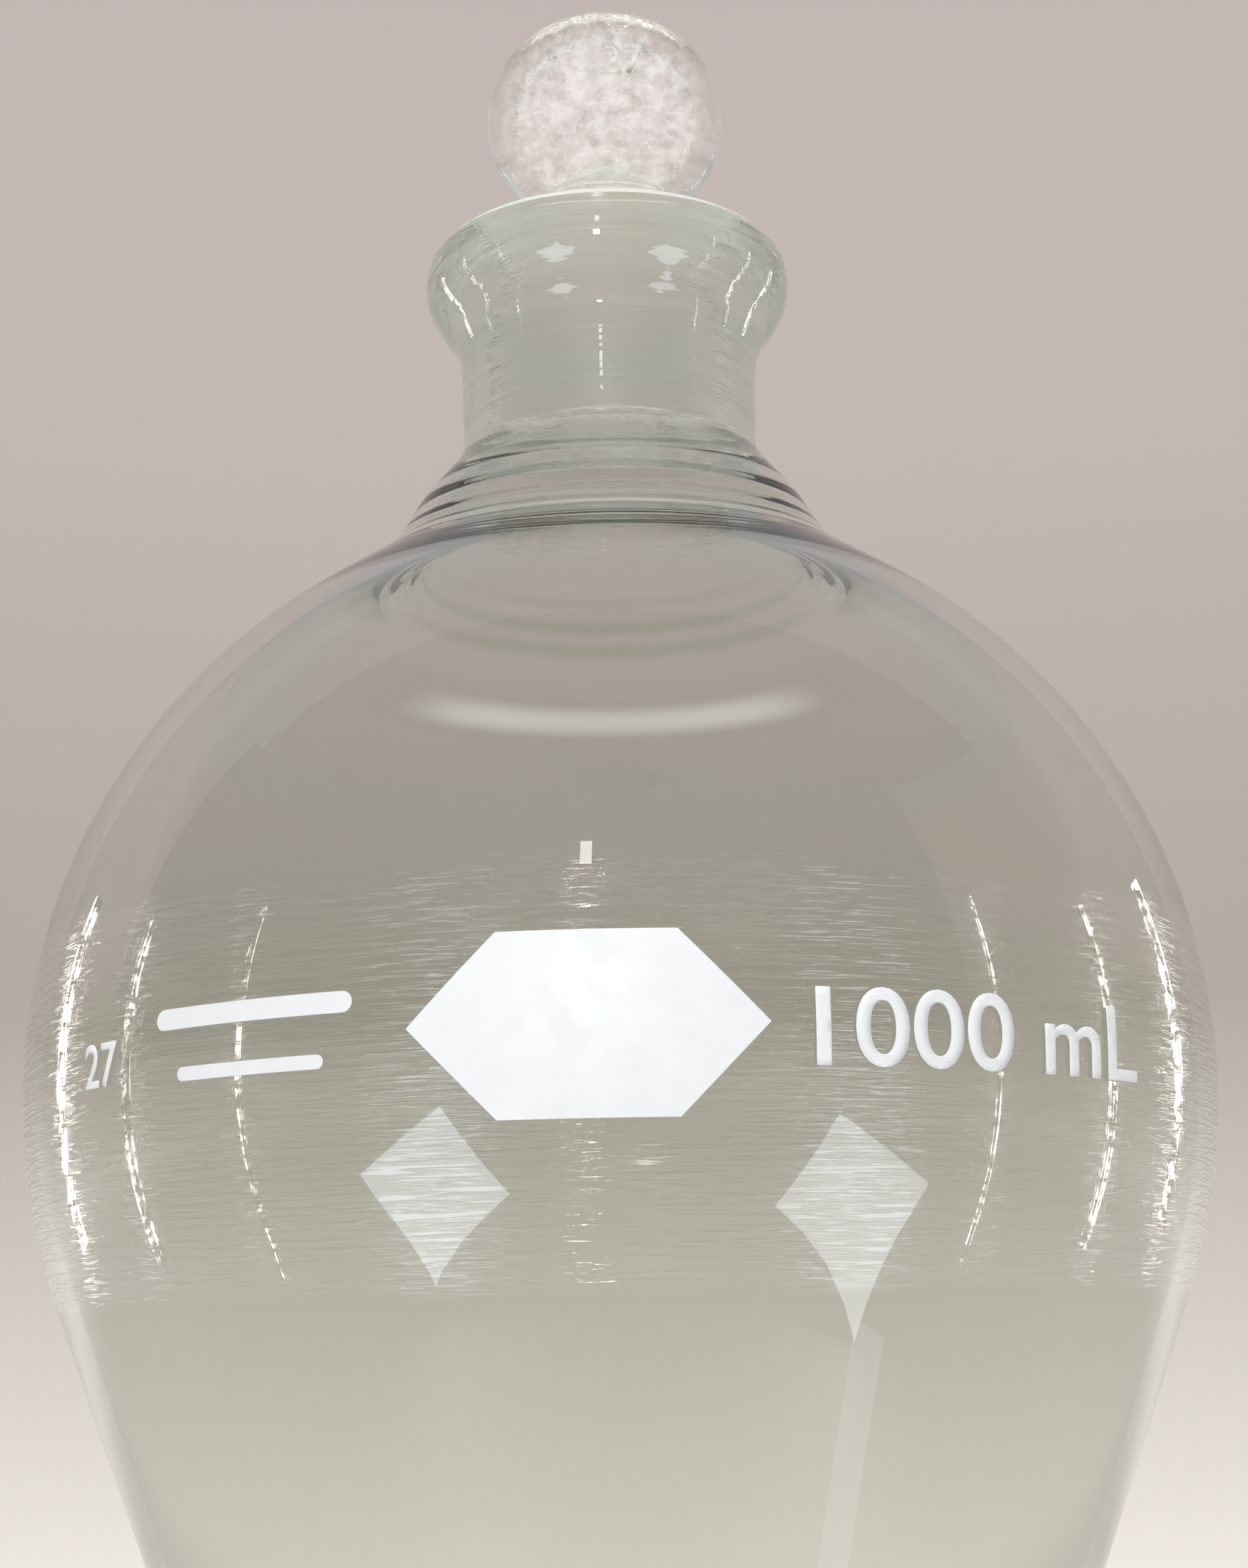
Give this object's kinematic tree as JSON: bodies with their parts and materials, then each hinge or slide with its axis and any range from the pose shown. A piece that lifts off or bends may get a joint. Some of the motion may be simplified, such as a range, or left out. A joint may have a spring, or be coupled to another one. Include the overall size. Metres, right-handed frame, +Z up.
{
  "type": "separatory funnel",
  "caption": "Pear-shaped glass separatory funnel with a ground-glass socket and flat-handled stopper, a PTFE stopcock and a bevelled drip stem.",
  "frame": {"origin": "on the funnel's axis, in the plane where a 4 inch (101.6 mm) support ring meets the lower cone", "axes": "+Z up the funnel's axis towards the stopper; +X along the stopcock towards its tee handle; the marking spot faces -Y"},
  "size_m": [0.121, 0.121, 0.3856],
  "materials": {
    "vessel_glass": "clear borosilicate glass, frosted inside the ground socket, with a white enamel marking spot",
    "stopper_glass": "pressed clear glass handle on a ground, frosted taper",
    "ptfe": "turned white PTFE, waxy and slightly translucent",
    "o_ring_rubber": "black moulded rubber",
    "nut_plastic": "white moulded plastic with a fluted grip"
  },
  "bodies": {
    "vessel": {"ground_socket": "vessel_glass", "bulb": "vessel_glass", "stopcock_barrel": "vessel_glass", "stem": "vessel_glass"},
    "stopper": {"stopper": "stopper_glass"},
    "plug": {"stopcock_plug": "ptfe"},
    "tension_washers": {"ptfe_washer": "ptfe", "o_ring": "o_ring_rubber"},
    "lock_nut": {"lock_nut": "nut_plastic"}
  },
  "joints": [
    {"name": "stopper_lift", "type": "slide", "parent": "vessel", "child": "stopper", "axis": [0, 0, 1], "range_m": [0, 0.06]},
    {"name": "plug_turn", "type": "hinge", "parent": "vessel", "child": "plug", "pos_m": [0, 0, -0.13532], "axis": [1, 0, 0], "continuous": true},
    {"name": "washer_travel", "type": "slide", "parent": "plug", "child": "tension_washers", "axis": [-1, 0, 0], "range_m": [0, 0.0151]},
    {"name": "nut_turn", "type": "hinge", "parent": "tension_washers", "child": "lock_nut", "pos_m": [0, 0, -0.13532], "axis": [-1, 0, 0], "range_deg": [0, 3600]}
  ],
  "couplings": [
    {"joint": "washer_travel", "follows": "nut_turn", "m_per_rad": 0.00023873}
  ]
}
